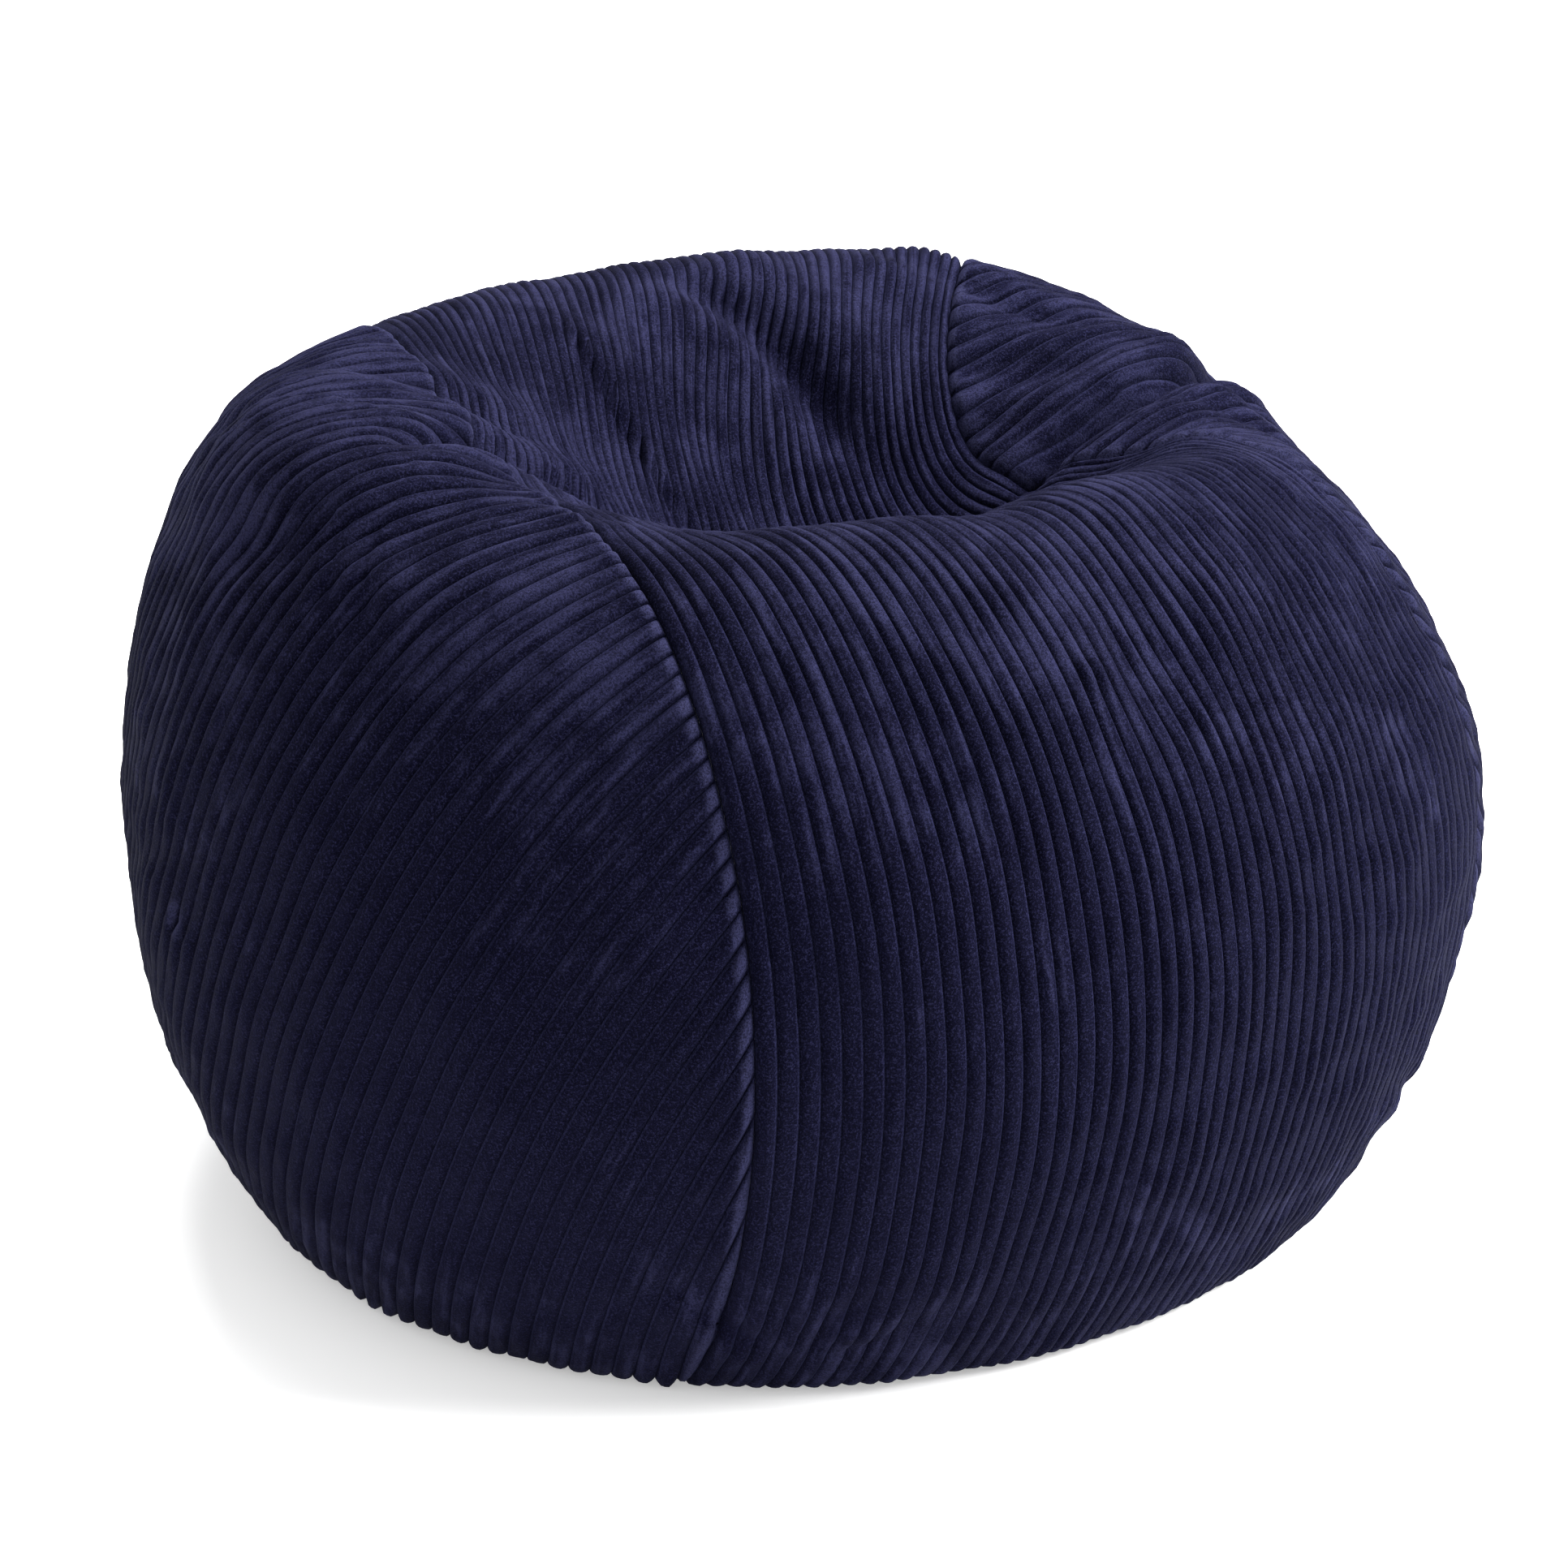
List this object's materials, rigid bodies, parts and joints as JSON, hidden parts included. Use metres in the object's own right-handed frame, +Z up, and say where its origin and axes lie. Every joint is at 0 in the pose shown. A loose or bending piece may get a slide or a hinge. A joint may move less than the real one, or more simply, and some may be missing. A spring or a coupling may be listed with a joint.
{
  "type": "bean bag chair",
  "caption": "Round bean bag chair with a pressed-in seat hollow, a ribbed plush cord cover, an inner bead liner, a bead fill and curved zips low on the back.",
  "frame": {"origin": "centre of the overall box, on the floor under the bag", "axes": "+Z up, the front of the seat faces -Y, +X to the right of someone looking along +Y"},
  "size_m": [0.95, 0.8695, 0.5934],
  "materials": {
    "cord": "wide-rib plush cord",
    "base_cloth": "matte woven",
    "zip_tape": "woven tape",
    "zip_coil": "satin",
    "zip_metal": "dark satin",
    "label_satin": "satin",
    "liner_cloth": "plain weave",
    "liner_zip_tape": "woven tape",
    "liner_zip_coil": "satin",
    "liner_zip_metal": "satin",
    "beads": "expanded bead"
  },
  "bodies": {
    "bag": {"cover_centre_panel": "cord", "cover_left_panel": "cord", "cover_right_panel": "cord", "cover_base_panel": "base_cloth", "cover_zip_tape_upper": "zip_tape", "cover_zip_tape_lower": "zip_tape", "cover_zip_coil_upper": "zip_coil", "cover_zip_coil_lower": "zip_coil", "cover_zip_stops": "zip_metal", "care_label": "label_satin", "liner_centre_panel": "liner_cloth", "liner_left_panel": "liner_cloth", "liner_right_panel": "liner_cloth", "liner_base_panel": "liner_cloth", "liner_zip_tape_upper": "liner_zip_tape", "liner_zip_tape_lower": "liner_zip_tape", "liner_zip_coil_upper": "liner_zip_coil", "liner_zip_coil_lower": "liner_zip_coil", "liner_zip_stops": "liner_zip_metal", "bean_fill": "beads"},
    "cover_zip_slider": {"cover_zip_slider": "zip_metal"},
    "cover_zip_pull": {"cover_zip_pull": "zip_metal"},
    "liner_zip_slider": {"liner_zip_slider": "liner_zip_metal"}
  },
  "joints": [
    {"name": "cover_zip_travel", "type": "hinge", "parent": "bag", "child": "cover_zip_slider", "pos_m": [0, -0.06769, 0], "axis": [0, 0, -1], "range_deg": [0, 59]},
    {"name": "cover_pull_flip", "type": "hinge", "parent": "cover_zip_slider", "child": "cover_zip_pull", "pos_m": [-0.17924, 0.34199, 0.0277], "axis": [-0.1927, 0.4405, 0.8768], "range_deg": [0, 150]},
    {"name": "liner_zip_travel", "type": "hinge", "parent": "bag", "child": "liner_zip_slider", "pos_m": [0, -0.06769, 0], "axis": [0, 0, -1], "range_deg": [0, 59]}
  ]
}
